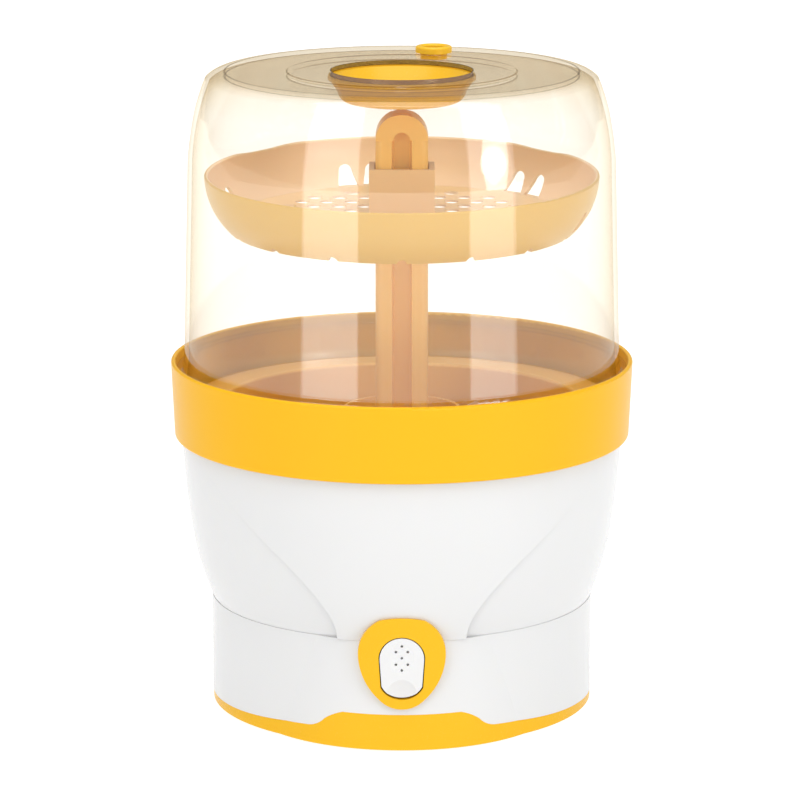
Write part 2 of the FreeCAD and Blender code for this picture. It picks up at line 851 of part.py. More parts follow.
def heating_element():
    """The tubular element: most of a ring brazed under the spreader, with its two ends turned down."""
    middle = PLATE_UNDERSIDE + " - spreader_thick - element_radius + 0.3"
    ring = doc.addObject("Part::Torus", "element_ring")
    ring.setExpression("Radius1", ref("element_circle"))
    ring.setExpression("Radius2", ref("element_radius"))
    ring.setExpression("Angle3", ref("element_angle"))
    place(ring, ("0", "0", middle), Rotation(Vector(0, 0, 1), 112.5))
    parts = [ring]
    for number, angle in enumerate((112.5, 112.5 - 45)):
        x, y = on_circle("element_circle", angle)
        parts.append(rod("element_end_%d" % number, "element_radius", "14", (x, y, middle + " - 14")))
        ball = doc.addObject("Part::Sphere", "element_bend_%d" % number)
        ball.setExpression("Radius", ref("element_radius"))
        parts.append(place(ball, (x, y, middle)))
        parts.append(rod("element_tail_%d" % number, "1.4", "8", (x, y, middle + " - 22")))
    return keep(join("heating_element_body", parts), "heating_element")


def thermostat():
    """The disc thermostat held under the middle of the spreader, with its two blades."""
    top = PLATE_UNDERSIDE + " - spreader_thick"
    disc = rod("thermostat_disc", "8", "6", ("0", "0", top + " - 6"))
    flange = rod("thermostat_flange", "11", "1", ("0", "0", top + " - 1"))
    parts = [disc, flange]
    for side in (-5, 5):
        at = (side - 0.4, "-3", top + " - 15")
        parts.append(block("thermostat_blade_%d" % side, ("0.8", "6", "9"), at))
    return keep(join("thermostat_body", parts), "thermostat")


def thermal_fuse():
    """The one-shot fuse clipped under the spreader."""
    top = PLATE_UNDERSIDE + " - spreader_thick"
    body = rod("fuse_barrel", "2", "14", ("-7", "26", top + " - 2.4"), ALONG_X)
    leads = rod("fuse_leads", "0.6", "26", ("-13", "26", top + " - 2.4"), ALONG_X)
    clip = block("fuse_clip", ("5", "12", "0.6"), ("-2.5", "20", top + " - 0.6"))
    return keep(join("thermal_fuse_body", [body, leads, clip]), "thermal_fuse")


# Electronics in the foot


def board_carrier():
    """The plastic bracket on the foot's floor that holds the board upright behind the key."""
    size = ("2 * carrier_half", "carrier_deep", "3")
    parts = [block("carrier_base", size, ("-carrier_half", "-carrier_front", "floor_high"))]
    for side in (-1, 1):
        at = ("(board_half + 1) * %d - 2.5" % side, "-carrier_front + 4", "floor_high")
        parts.append(block("carrier_post_%d" % (side + 1), ("5", "carrier_deep / 2", "carrier_post"), at))
    slot = block(
        "carrier_slot",
        ("2 * board_half + 1", "board_thick + 0.2", "carrier_post + 10"),
        ("-board_half - 0.5", "-board_face - 0.1", "floor_high + board_lift - 0.2"),
    )
    return keep(cut("board_carrier_body", join("carrier_form", parts), [slot]), "board_carrier")


def control_board():
    """The circuit board, standing in the carrier's slots."""
    size = ("2 * board_half", "board_thick", "board_height")
    at = ("-board_half", "-board_face", "floor_high + board_lift")
    return keep(block("control_board_body", size, at), "control_board")


BOARD_BACK = "(-board_face + board_thick)"


def relay():
    """The relay that switches the element, on the back of the board."""
    size = ("relay_wide", "relay_deep", "15")
    return keep(block("relay_body", size, ("relay_across", BOARD_BACK, "relay_low")), "relay")


def capacitor():
    """The round capacitor on the back of the board."""
    can = rod("capacitor_can", "can_radius", "can_long", ("-can_across", BOARD_BACK, "can_height"), ALONG_Y)
    return keep(can, "capacitor")


def micro_switch():
    """The push switch on the front of the board, bored for its plunger."""
    front = "-board_face - switch_deep"
    size = ("2 * switch_half", "switch_deep", "2 * switch_half")
    case = block("switch_case", size, ("-switch_half", front, "stem_height - switch_half"))
    bore = rod("switch_bore", "plunger_radius + pivot_clearance", "4", ("0", front, "stem_height"), ALONG_Y)
    return keep(cut("micro_switch_body", case, [bore]), "micro_switch")


def switch_plunger():
    """The switch's long plunger, which ends just behind the key's stem."""
    tip = "-key_back + stem_length + touch_gap"
    length = "-board_face - 4.5 - (%s)" % tip
    plunger = rod("switch_plunger_body", "plunger_radius", length, ("0", tip, "stem_height"), ALONG_Y)
    return keep(plunger, "switch_plunger")


def indicator_led():
    """The lamp behind the key's light holes."""
    lens = rod("led_lens", "2.5", "6", ("0", "-board_face - 8.5", "lamp_height"), ALONG_Y)
    rim = rod("led_rim", "2.9", "1", ("0", "-board_face - 3.5", "lamp_height"), ALONG_Y)
    legs = rod("led_legs", "1", "4", ("0", "-board_face - 4", "lamp_height"), ALONG_Y)
    return keep(join("indicator_led_body", [lens, rim, legs]), "indicator_led")


def return_spring():
    """The steel leaf that pushes the key back: its foot is pressed into the bezel and its tip is behind the key."""
    foot = "-bezel_back - 3"
    tip = "-key_back + touch_gap"
    corners = [
        (foot + " - 1.2", "spring_bend", foot, "spring_low"),
        (foot + " + 0.4", "spring_low"),
        (foot + " - 0.6", "spring_bend", tip + " + 0.4", "spring_high"),
        (tip, "spring_high"),
    ]
    return keep(prism("spring_strip", "YZ_Plane", corners, "5", "9"), "return_spring")


# Mains entry and leads


def cord_gland():
    """The bush where the mains lead enters: a square neck in the housing's notch, with a round lip and nose."""
    neck = block(
        "gland_neck",
        ("2 * gland_half", "10", "2 * gland_half"),
        ("-gland_half", "lower_radius - 9", "gland_height - gland_half"),
    )
    lip = rod("gland_lip", "gland_lip_radius", "2", ("0", "lower_radius + 0.5", "gland_height"), ALONG_Y)
    nose = rod("gland_nose", "gland_half - 1.6", "2.5", ("0", "lower_radius + 1.5", "gland_height"), ALONG_Y)
    bore = rod("gland_bore", "cord_radius", "30", ("0", "lower_radius - 15", "gland_height"), ALONG_Y)
    return keep(cut("cord_gland_body", join("gland_form", [neck, lip, nose]), [bore]), "cord_gland")


def cord_clamp():
    """The saddle that grips the mains lead behind the gland."""
    size = ("2 * clamp_half", "clamp_deep", "clamp_high")
    saddle = block("clamp_saddle", size, ("-clamp_half", "clamp_near", "floor_high"))
    tools = [rod("clamp_bore", "cord_radius - 0.3", "20", ("0", "clamp_near - 8", "gland_height"), ALONG_Y)]
    for side in (-1, 1):
        at = ("clamp_bolt * %d" % side, "clamp_near + clamp_deep / 2", "floor_high - 1")
        tools.append(rod("clamp_bolt_hole_%d" % (side + 1), "1.6", "30", at))
    return keep(cut("cord_clamp_body", saddle, tools), "cord_clamp")


def clamp_screws():
    """Two screws down through the saddle."""
    screws = []
    for side in (-1, 1):
        at = ("clamp_bolt * %d" % side, "clamp_near + clamp_deep / 2", "floor_high + clamp_high + 2")
        screws.append(screw("clamp_screw_%d" % (side + 1), "2.8", "2", "1.5", "16", at, point_up=False))
    return keep(group("clamp_screw_set", screws), "clamp_screws")


def terminal_block():
    """The three-way block where the mains lead ends."""
    size = ("2 * terminal_half", "terminal_deep", "terminal_high")
    body = block("terminal_case", size, ("-terminal_half", "terminal_near", "floor_high"))
    holes = []
    for side in (-1, 0, 1):
        at = ("terminal_pitch * %d" % side, "terminal_near - 3", "floor_high + terminal_high / 2")
        holes.append(rod("terminal_hole_%d" % (side + 1), "1.8", "20", at, ALONG_Y))
    return keep(cut("terminal_block_body", body, holes), "terminal_block")


def lead(name, points, radius):
    """An insulated wire along straight runs joined by tangent arcs."""
    corners = [Vector(*point) for point in points]
    edges = []
    start = corners[0]
    for before, corner, after in zip(corners, corners[1:], corners[2:]):
        back = (before - corner).normalize()
        ahead = (after - corner).normalize()
        half_turn = (math.pi - back.getAngle(ahead)) / 2
        room = 0.45 * min(before.distanceToPoint(corner), after.distanceToPoint(corner))
        depth = room * (1 / math.cos(half_turn) - 1) / math.tan(half_turn)
        inwards = (back + ahead).normalize()
        arc = Part.Arc(corner + back * room, corner + inwards * depth, corner + ahead * room)
        edges.append(Part.LineSegment(start, corner + back * room).toShape())
        edges.append(arc.toShape())
        start = corner + ahead * room
    edges.append(Part.LineSegment(start, corners[-1]).toShape())
    path = Part.Wire(edges)
    section = Part.Wire(Part.Circle(corners[0], (corners[1] - corners[0]).normalize(), radius).toShape())
    item = doc.addObject("Part::Feature", name + "_wire")
    item.Shape = path.makePipeShell([section], True, False)
    item.Placement = Placement()
    return keep(item, name)


def leads():
    """The live and neutral leads up to the element, and the earth lead to the clamp ring."""
    floor = value("floor_high")
    near = value("terminal_near") - 0.5
    hole = value("floor_high + terminal_high / 2")
    tail = value(PLATE_UNDERSIDE + " - spreader_thick - element_radius") + 0.3 - 22
    ring = value("basin_floor - wall - gasket_thick - plate_thick") - 1.5
    bend = math.radians(67.5)
    x = value("element_circle") * math.cos(bend)
    y = value("element_circle") * math.sin(bend)
    for name, side in (("live_lead", 1), ("neutral_lead", -1)):
        foot = side * value("terminal_pitch")
        rise = [(foot, 44, floor + 8), (foot + 5 * side, 34, floor + 24), (side * x, y, tail - 14)]
        lead(name, [(foot, near, hole)] + rise + [(side * x, y, tail)], value("lead_radius"))
    route = [(0, 47, floor + 3), (-26, 40, floor + 3), (-58, 42, floor + 40), (-64, 44, ring - 10)]
    lead("earth_lead", [(0, near, hole)] + route + [(-64, 44, ring)], value("earth_radius"))


# Lift-out rack and its column


def seats():
    """The angle of each of the six bottle places round the column."""
    return [30 + 60 * number for number in range(6)]


def rack_basket():
    """The lift-out basket's wall, with a flange to hang by and a ledge for the drain grid."""
    foot = "rack_floor_low - rack_ledge_thick"
    profile = [
        ("rack_ledge_radius", foot),
        ("rack_low_radius - 3", foot),
        ("rack_low_radius - 0.9", foot + " + 0.9", "rack_low_radius", "rack_floor_low + 1.4"),
        ("rack_top_radius", "rack_flange_low"),
        ("rack_flange_radius", "rack_flange_low"),
        ("rack_flange_radius", "rack_flange_low + thin"),
        ("rack_top_radius - 0.6", "rack_flange_low + thin"),
        ("rack_top_radius - 1.8", "rack_flange_low + thin - 0.6", "rack_top_radius - thin", "rack_flange_low + 0.4"),
        ("rack_low_radius - thin", "rack_floor_low"),
        ("rack_ledge_radius", "rack_floor_low"),
    ]
    return keep(turned("rack_basket_body", profile), "rack_basket")


def drain_grid():
    """The pierced disc bonded on the basket's ledge: a hole under each bottle and small drains round the edge."""
    low = "rack_floor_low - 1"
    thick = "rack_floor_high - rack_floor_low"
    disc = rod("grid_disc", "rack_low_radius - thin - slack", thick, ("0", "0", "rack_floor_low"))
    tools = [rod("grid_screw_hole", "column_screw_hole", "10", ("0", "0", low))]
    for number, angle in enumerate(seats()):
        x, y = on_circle("seat_circle", angle)
        tools.append(rod("seat_hole_%d" % number, "seat_hole_radius", "10", (x, y, low)))
        for side in (-1, 1):
            x, y = on_circle("drain_circle", angle + 14 * side)
            tools.append(rod("drain_%d_%d" % (number, side + 1), "drain_radius", "10", (x, y, low)))
    return keep(cut("drain_grid_body", disc, tools), "drain_grid")


def bottle_cradle():
    """The insert on the drain grid: a hub for the column, six ribs and six open arcs that hold the bottles."""
    top = "seat_high - rack_floor_high"
    shells = []
    bores = []
    for number, angle in enumerate(seats()):
        x, y = on_circle("seat_circle", angle)
        shells.append(rod("cradle_shell_%d" % number, "seat_radius + seat_wall", top, (x, y, "rack_floor_high")))
        bores.append(rod("cradle_bore_%d" % number, "seat_radius", "60", (x, y, "rack_floor_high - 5")))
    rim = rod("cradle_rim", "cradle_radius", top, ("0", "0", "rack_floor_high"))
    core = rod("cradle_core", "seat_arc_inner", "60", ("0", "0", "rack_floor_high - 5"))
    corner = cone("cradle_foot", "cradle_radius - 2.5", "cradle_radius + 37.5", "40", ("0", "0", "rack_floor_high"))
    arcs = cut("cradle_arcs", overlap("cradle_zone", [join("cradle_shells", shells), rim, corner]), [core])
    hub = rod("cradle_hub", "hub_radius", "hub_high - rack_floor_high", ("0", "0", "rack_floor_high"))
    ribs = [
        radial_block(
            "cradle_rib_%d" % number, "hub_radius - 1", "rib_reach - hub_radius", "rib_thick", "rack_floor_high",
            "rib_high", 60 * number,
        )
        for number in range(6)
    ]
    screw_hole = rod("cradle_screw_hole", "column_screw_hole", "30", ("0", "0", "rack_floor_high - 1"))
    whole = join("cradle_form", [arcs, hub] + ribs)
    return keep(cut("bottle_cradle_body", whole, bores + [screw_hole]), "bottle_cradle")


def column_section(name, depth, low, high):
    """The column's plan, a rounded bar with a groove down its front and back."""
    corner = "column_corner"
    flat = "column_corner * 0.293"
    half = "column_half"
    groove = "groove_half"
    inner = "(%s) - groove_depth" % depth
    corners = [
        (half + " - " + flat, "(%s) - %s" % (depth, flat), half + " - " + corner, depth),
        (groove + " + 1", depth),
        (groove, inner),
        ("-" + groove, inner),
        ("-%s - 1" % groove, depth),
        ("-%s + %s" % (half, corner), depth),
        ("-%s + %s" % (half, flat), "(%s) - %s" % (depth, flat), "-" + half, "(%s) - %s" % (depth, corner)),
        ("-" + half, "-(%s) + %s" % (depth, corner)),
        ("-%s + %s" % (half, flat), "-(%s) + %s" % (depth, flat), "-%s + %s" % (half, corner), "-(%s)" % depth),
        ("-%s - 1" % groove, "-(%s)" % depth),
        ("-" + groove, "-(%s)" % inner),
        (groove, "-(%s)" % inner),
        (groove + " + 1", "-(%s)" % depth),
        (half + " - " + corner, "-(%s)" % depth),
        (half + " - " + flat, "-(%s) + %s" % (depth, flat), half, "-(%s) + %s" % (depth, corner)),
        (half, "(%s) - %s" % (depth, corner)),
    ]
    return prism(name, "XY_Plane", corners, low, high)


def centre_column():
    """The column that the rack is lifted by: grooved, arched on top, with a stop for the tray."""
    upper = column_section("column_upper", "column_depth", "hub_high", "column_high + 2")
    lower = column_section("column_lower", "column_stop_depth", "hub_high", "stop_height")
    arch = slot_prism("column_arch", "column_half", "hub_high - 40", "column_high", "-20", "20")
    solid = join("column_solid", [overlap("column_arched", [upper, arch]), lower])
    crown_height = "column_high - column_half"
    crown = rod("column_crown", "column_half - 0.2", "40", ("0", "-20", crown_height), ALONG_Y)
    eye = rod("column_eye", "groove_half", "60", ("0", "-30", crown_height), ALONG_Y)
    zone = block("column_top_zone", ("40", "2 * column_depth", "20"), ("-20", "-column_depth", crown_height))
    web = overlap("column_top_web", [cut("column_crown_ring", crown, [eye]), zone])
    foot = rod("column_foot", "hub_radius - 3", "6", ("0", "0", "hub_high"))
    pilot = rod("column_pilot", "column_pilot_radius", "24", ("0", "0", "hub_high - 2"))
    whole = join("column_form", [solid, web, foot])
    return keep(cut("centre_column_body", whole, [pilot]), "centre_column")


def column_screw():
    """The screw up through the rack that holds the column."""
    at = ("0", "0", "rack_floor_low - 2.6")
    return keep(screw("column_screw_body", "4.5", "2.6", "column_pilot_radius", "32", at), "column_screw")


# Upper tray


def tray_bowl():
    """The tray's bowl: a foot ring, a curved wall with a rounded rim, and a ledge for the floor."""
    profile = [
        ("tray_foot_radius - thin", "tray_low"),
        ("tray_foot_radius", "tray_low"),
        ("tray_belly_radius", "tray_belly_height", "tray_radius", "tray_high - 1"),
        ("tray_radius - thin / 2", "tray_high", "tray_radius - thin", "tray_high - 1"),
        ("tray_belly_radius - thin", "tray_belly_height", "tray_floor_radius + slack", "tray_floor_high"),
        ("tray_floor_radius + slack", "tray_floor_low"),
        ("tray_ledge_radius", "tray_floor_low"),
        ("tray_ledge_radius", "tray_floor_low - 1"),
        ("tray_foot_radius - thin", "tray_floor_low - 1"),
    ]
    return turned("tray_bowl", profile)


def rim_dip(number, angle):
    """A shallow dip in the tray's rim, cut from above, at an angle round the Z axis."""
    low = "tray_high - tray_dip"
    corners = [
        ("-30", "tray_high + 9"),
        ("-30", "tray_high + 0.1"),
        ("-16", "tray_high - tray_dip / 2", "-10", low + " + 0.2"),
        ("0", low, "10", low + " + 0.2"),
        ("16", "tray_high - tray_dip / 2", "30", "tray_high + 0.1"),
        ("30", "tray_high + 9"),
    ]
    return spin(prism("rim_dip_%d" % number, "YZ_Plane", corners, "80", "130"), angle)


def tray_window(number, angle):
    """An arched drain window low in the tray's wall, at an angle round the Z axis."""
    shoulder = "tray_window_high - 4.2"
    corners = [
        ("0", "tray_window_high", "-4.2", shoulder),
        ("-6", "tray_floor_high + 0.2"),
        ("6", "tray_floor_high + 0.2"),
        ("4.2", shoulder),
    ]
    return spin(prism("tray_window_%d" % number, "YZ_Plane", corners, "80", "115"), angle)


def tray_holes():
    """The floor's round holes in staggered rows, clear of the sleeve and the wall."""
    pitch = value("tray_hole_pitch")
    reach = value("tray_foot_radius") - 12
    clear_across = value("sleeve_half") + 7
    clear_along = value("sleeve_depth") + 7
    rows = int(reach // (pitch * math.sqrt(3) / 2))
    columns = int(reach // pitch) + 1
    holes = []
    for row in range(-rows, rows + 1):
        for column in range(-columns, columns + 1):
            across = column + 0.5 * (row % 2)
            x = across * pitch
            y = row * pitch * math.sqrt(3) / 2
            beside_sleeve = abs(x) < clear_across and abs(y) < clear_along
            if beside_sleeve or math.hypot(x, y) > reach:
                continue
            at = (
                "tray_hole_pitch * %.1f" % across,
                "tray_hole_pitch * %d * sqrt(3) / 2" % row,
                "tray_floor_low - 2",
            )
            name = "tray_hole_%d_%d" % (row + rows, column + columns)
            holes.append(rod(name, "tray_hole_radius", "6", at))
    return holes


def lean_back(item):
    """Tilts part of the tray, so that its bowl stands higher at the back and drains forwards."""
    middle = Vector(0, 0, value("tray_tilt_height"))
    item.Placement = Placement(Vector(), Rotation(Vector(1, 0, 0), TRAY_TILT), middle)
    return item


def accessory_tray():
    """The tray for teats and small parts: a tilted bowl with drain windows, open below for its floor."""
    tools = [rim_dip(number, angle) for number, angle in enumerate((42, 138))]
    pairs = [middle + side * 4.4 for middle in (-15, 45, 104, 165) for side in (-1, 1)]
    tools += [tray_window(number, angle) for number, angle in enumerate(pairs)]
    for number in range(16):
        notch = rod("tray_notch_%d" % number, "2.6", "30", ("80", "0", "tray_low"), ALONG_X)
        tools.append(spin_group("tray_foot_notch_%d" % number, notch, 22.5 * number))
    return keep(lean_back(cut("accessory_tray_body", tray_bowl(), tools)), "accessory_tray")


def tray_floor():
    """The tray's pierced floor, bonded on the bowl's ledge and tilted with it."""
    thick = "tray_floor_high - tray_floor_low"
    disc = rod("tray_floor_disc", "tray_floor_radius", thick, ("0", "0", "tray_floor_low"))
    pierced = lean_back(cut("tray_floor_pierced", disc, tray_holes()))
    passage = block(
        "floor_passage",
        ("2 * (sleeve_half + slack / 2)", "2 * (sleeve_depth + slack / 2)", "20"),
        ("-sleeve_half - slack / 2", "-sleeve_depth - slack / 2", "tray_floor_low - 10"),
    )
    return keep(cut("tray_floor_body", pierced, [passage]), "tray_floor")


def tray_sleeve():
    """The upright sleeve that slides over the column, with a collar under the tray's floor."""
    tube = block(
        "sleeve_tube",
        ("2 * sleeve_half", "2 * sleeve_depth", "sleeve_high - sleeve_low"),
        ("-sleeve_half", "-sleeve_depth", "sleeve_low"),
    )
    across = "2 * (sleeve_half + sleeve_collar)"
    along = "2 * (sleeve_depth + sleeve_collar)"
    collar = block(
        "sleeve_collar_form",
        (across, along, "sleeve_collar_high - sleeve_low"),
        ("-sleeve_half - sleeve_collar", "-sleeve_depth - sleeve_collar", "sleeve_low"),
    )
    passage = block(
        "sleeve_passage",
        ("2 * (column_half + sleeve_gap)", "2 * (column_depth + sleeve_gap)", "60"),
        ("-column_half - sleeve_gap", "-column_depth - sleeve_gap", "sleeve_low - 10"),
    )
    return keep(cut("tray_sleeve_body", join("sleeve_form", [tube, collar]), [passage]), "tray_sleeve")


# Clear cover with its grip and vent


def cover_profile():
    """The cover's wall: skirt, flange, tall side, shoulder and dished top."""
    inner_top = "cover_top - wall"
    inner_edge = "cover_edge_radius - wall + 0.1"
    inner_shoulder = "cover_shoulder_radius - wall"
    return [
        ("cover_skirt_radius - wall", "cover_low"),
        ("cover_skirt_radius", "cover_low"),
        ("cover_skirt_radius", "cover_flange_low"),
        ("cover_flange_radius - 0.6", "cover_flange_low"),
        ("cover_flange_radius", "cover_flange_low + 0.6", "cover_flange_radius - 0.2", "cover_flange_low + 1.4"),
        ("cover_low_radius + 1.2", "cover_flange_high"),
        ("cover_low_radius + 0.25", "cover_flange_high + 1.4", "cover_low_radius", "cover_flange_high + 4"),
        ("cover_shoulder_radius", "cover_shoulder_height"),
        ("cover_bend_radius + 1.5", "cover_bend_height - 8", "cover_bend_radius", "cover_bend_height"),
        ("cover_edge_radius + 2.2", "cover_edge_height - 5.6", "cover_edge_radius", "cover_edge_height"),
        ("cover_edge_radius - 4.6", "cover_edge_height + 2.9", "cover_crest_radius", "cover_top"),
        ("step_radius + 1", "cover_top - dish_depth"),
        ("step_radius - 0.6", "cover_top - dish_depth + step_rise"),
        ("grip_hole_radius", "cover_top - dish_depth + step_rise"),
        ("grip_hole_radius", inner_top + " - dish_depth + step_rise"),
        ("step_radius - 0.6 - wall / 4", inner_top + " - dish_depth + step_rise"),
        ("step_radius + 1 - wall / 4", inner_top + " - dish_depth"),
        ("cover_crest_radius", inner_top),
        ("cover_edge_radius - 5.6", "cover_edge_height + 0.5", inner_edge, "cover_edge_height - 1.5"),
        ("cover_bend_radius + 1.6 - wall", "cover_bend_height - 8", inner_shoulder, "cover_shoulder_height"),
        ("cover_low_radius - wall", "cover_flange_high + 4"),
        ("cover_skirt_radius - wall", "cover_flange_low - 3"),
    ]


def dome_cover():
    """The clear cover, open for the grip and the vent."""
    shell = turned("cover_shell", cover_profile())
    hole = rod("vent_hole", "vent_neck", "20", ("vent_across", "vent_back", "cover_top - 12"))
    return keep(cut("dome_cover_body", shell, [hole]), "dome_cover")


# The face that the grip's flange is bonded to is under the cover's raised middle.
GRIP_SEAT = "(cover_top - dish_depth + step_rise - wall - seal_thick)"


def grip_cup():
    """The sunk grip: a cup hung by its flange under the cover's top, with a bar across it to pinch."""
    profile = [
        ("grip_mouth_radius", GRIP_SEAT),
        ("grip_floor_radius + 5.2", "grip_floor + 4.4"),
        ("grip_floor_radius + 3.4", "grip_floor + 1.1", "grip_floor_radius", "grip_floor"),
        ("0", "grip_floor"),
        ("0", "grip_floor - thin"),
        ("grip_floor_radius", "grip_floor - thin"),
        ("grip_floor_radius + 4.9", "grip_floor - thin + 1.6", "grip_floor_radius + 7.4", "grip_floor + 4"),
        ("grip_mouth_radius + 1.4", GRIP_SEAT + " - grip_flange_thick"),
        ("grip_flange_radius", GRIP_SEAT + " - grip_flange_thick"),
        ("grip_flange_radius", GRIP_SEAT),
    ]
    cup = turned("grip_cup_turned", profile)
    foot = "grip_floor - thin / 2"
    section = [
        ("-bar_half", foot),
        ("bar_half", foot),
        ("bar_half - 1.4", "bar_high - 3"),
        ("0", "bar_high", "-bar_half + 1.4", "bar_high - 3"),
    ]
    bar = prism("pinch_bar", "YZ_Plane", section, "-40", "40")
    room = [
        ("0", foot),
        ("grip_floor_radius", foot),
        ("grip_floor_radius + 4.1", foot + " + 1.4", "grip_floor_radius + 6.2", "grip_floor + 4.2"),
        ("grip_floor_radius + 7.6", "bar_high + 1"),
        ("0", "bar_high + 1"),
    ]
    reach = turned("pinch_bar_reach", room)
    return keep(join("grip_cup_body", [cup, overlap("pinch_bar_trimmed", [bar, reach])]), "grip_cup")


def grip_seal():
    """The soft ring that bonds the grip's flange under the cover's top."""
    outer = rod("seal_disc", "grip_flange_radius - 0.3", "seal_thick", ("0", "0", GRIP_SEAT))
    inner = rod("seal_mouth", "grip_hole_radius + 0.2", "10", ("0", "0", GRIP_SEAT + " - 5"))
    return keep(cut("grip_seal_body", outer, [inner]), "grip_seal")


def steam_vent():
    """The vent: a collared ring pushed through the cover's top."""
    seat = "cover_top - 0.05 * dish_depth"
    head = rod("vent_head", "vent_radius", "vent_top - 1 - (%s)" % seat, ("vent_across", "vent_back", seat))
    rim = doc.addObject("Part::Torus", "vent_rim")
    rim.setExpression("Radius1", ref("vent_radius - 1.6"))
    rim.setExpression("Radius2", "1.6 mm")
    place(rim, ("vent_across", "vent_back", "vent_top - 1.6"))
    neck = rod("vent_neck_tube", "vent_neck", "4", ("vent_across", "vent_back", "cover_top - 3.6"))
    bore = rod("vent_bore_tool", "vent_bore", "30", ("vent_across", "vent_back", "cover_top - 15"))
    return keep(cut("steam_vent_body", join("vent_form", [head, rim, neck]), [bore]), "steam_vent")


def main():
    """Builds every sub-part, checks them all and writes one file for each."""
    make_sheet()
    seam = seam_region()
    base_shell(seam)
    bottom_cover(seam)
    for make in (
        rubber_feet, bottom_screws, button_bezel, pivot_pin, power_key, rim_ring, water_basin, plate_gasket,
        heating_plate, plate_clamp_ring, plate_screws, heat_spreader, heating_element, thermostat, thermal_fuse,
        board_carrier, control_board, relay, capacitor, micro_switch, switch_plunger, indicator_led, return_spring,
        cord_gland, cord_clamp, clamp_screws, terminal_block, leads, rack_basket, drain_grid, bottle_cradle,
        centre_column, column_screw, accessory_tray, tray_floor, tray_sleeve, dome_cover, grip_cup, grip_seal,
        steam_vent,
    ):
        make()
    doc.recompute()
    failed = [item.Name for item in doc.Objects if {"Invalid", "Error"} & set(item.State)]
    if failed:
        raise RuntimeError("objects that failed: " + ", ".join(failed))
    os.makedirs("parts", exist_ok=True)
    for item in nodes:
        if item.Shape.isNull() or not item.Shape.isValid():
            raise RuntimeError("bad shape: " + item.Label)
    for item in nodes:
        item.Shape.exportStep(os.path.join("parts", item.Label + ".step"))


main()
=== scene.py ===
"""Looks of the bottle sterilizer: materials, light and camera round the CAD frame. Metres, front at -Y."""

import math

import bpy
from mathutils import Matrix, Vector

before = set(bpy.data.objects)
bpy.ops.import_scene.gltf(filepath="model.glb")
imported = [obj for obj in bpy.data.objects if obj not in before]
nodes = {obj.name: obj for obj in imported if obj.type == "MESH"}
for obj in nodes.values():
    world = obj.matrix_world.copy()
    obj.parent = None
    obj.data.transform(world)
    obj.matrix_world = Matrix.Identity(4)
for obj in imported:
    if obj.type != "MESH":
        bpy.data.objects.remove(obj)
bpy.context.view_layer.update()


# Heights and sizes, in metres
TOP_LOW = 0.336
TOP_HIGH = 0.351
BEND_LOW = 0.330
BEND_HIGH = 0.334
FLOOR_HALF = 12.0
LIGHT_DISTANCE = 1.0
SOFTBOX_LOW = 0.02
SOFTBOX_HEIGHT = 1.1
CAMERA_PLACE = (-0.001, -2.2723, 0.6799)
CAMERA_TILT = 12.67


# Node helpers


def new_material(name):
    """An empty node material with its Principled shader wired to the output."""
    material = bpy.data.materials.new(name)
    material.use_nodes = True
    tree = material.node_tree
    return material, tree, tree.nodes["Principled BSDF"]


def noise(tree, scale, detail=3.0, roughness=0.5, stretch=(1, 1, 1)):
    """A noise texture in the object's own metres, and its factor."""
    place = tree.nodes.new("ShaderNodeTexCoord")
    mapping = tree.nodes.new("ShaderNodeMapping")
    mapping.inputs["Scale"].default_value = stretch
    texture = tree.nodes.new("ShaderNodeTexNoise")
    texture.inputs["Scale"].default_value = scale
    texture.inputs["Detail"].default_value = detail
    texture.inputs["Roughness"].default_value = roughness
    tree.links.new(place.outputs["Object"], mapping.inputs["Vector"])
    tree.links.new(mapping.outputs["Vector"], texture.inputs["Vector"])
    return texture.outputs["Fac"]


def remap(tree, value, low, high):
    """A value in 0 to 1 stretched to another range."""
    node = tree.nodes.new("ShaderNodeMapRange")
    node.inputs["To Min"].default_value = low
    node.inputs["To Max"].default_value = high
    tree.links.new(value, node.inputs["Value"])
    return node.outputs["Result"]


def mix_colours(tree, value, first, second):
    """A colour between two, by a value."""
    node = tree.nodes.new("ShaderNodeMix")
    node.data_type = "RGBA"
    node.inputs["A"].default_value = (*first, 1)
    node.inputs["B"].default_value = (*second, 1)
    tree.links.new(value, node.inputs["Factor"])
    return node.outputs["Result"]


def bump(tree, shader, height, distance, strength=1.0):
    """Raises the surface by a height in metres."""
    node = tree.nodes.new("ShaderNodeBump")
    node.inputs["Distance"].default_value = distance
    node.inputs["Strength"].default_value = strength
    tree.links.new(height, node.inputs["Height"])
    tree.links.new(node.outputs["Normal"], shader.inputs["Normal"])


def moulded(name, colour, shade, rough=(0.22, 0.34), wave=0.00004, subsurface=0.0, specular=0.5):
    """Injection-moulded plastic: faint colour drift, uneven gloss and a slow wave in the surface."""
    material, tree, shader = new_material(name)
    drift = noise(tree, 14, 2)
    tree.links.new(mix_colours(tree, drift, colour, shade), shader.inputs["Base Color"])
    fine = noise(tree, 900, 3, 0.6)
    tree.links.new(remap(tree, fine, *rough), shader.inputs["Roughness"])
    slow = noise(tree, 55, 2)
    bump(tree, shader, slow, wave)
    shader.inputs["IOR"].default_value = 1.49
    shader.inputs["Subsurface Weight"].default_value = subsurface
    shader.inputs["Subsurface Radius"].default_value = (0.004, 0.0025, 0.001)
    shader.inputs["Subsurface Scale"].default_value = 1.0
    shader.inputs["Specular IOR Level"].default_value = specular
    return material


def haze_of(tree):
    """A slow cloud for faint colour drift."""
    return noise(tree, 40, 3)


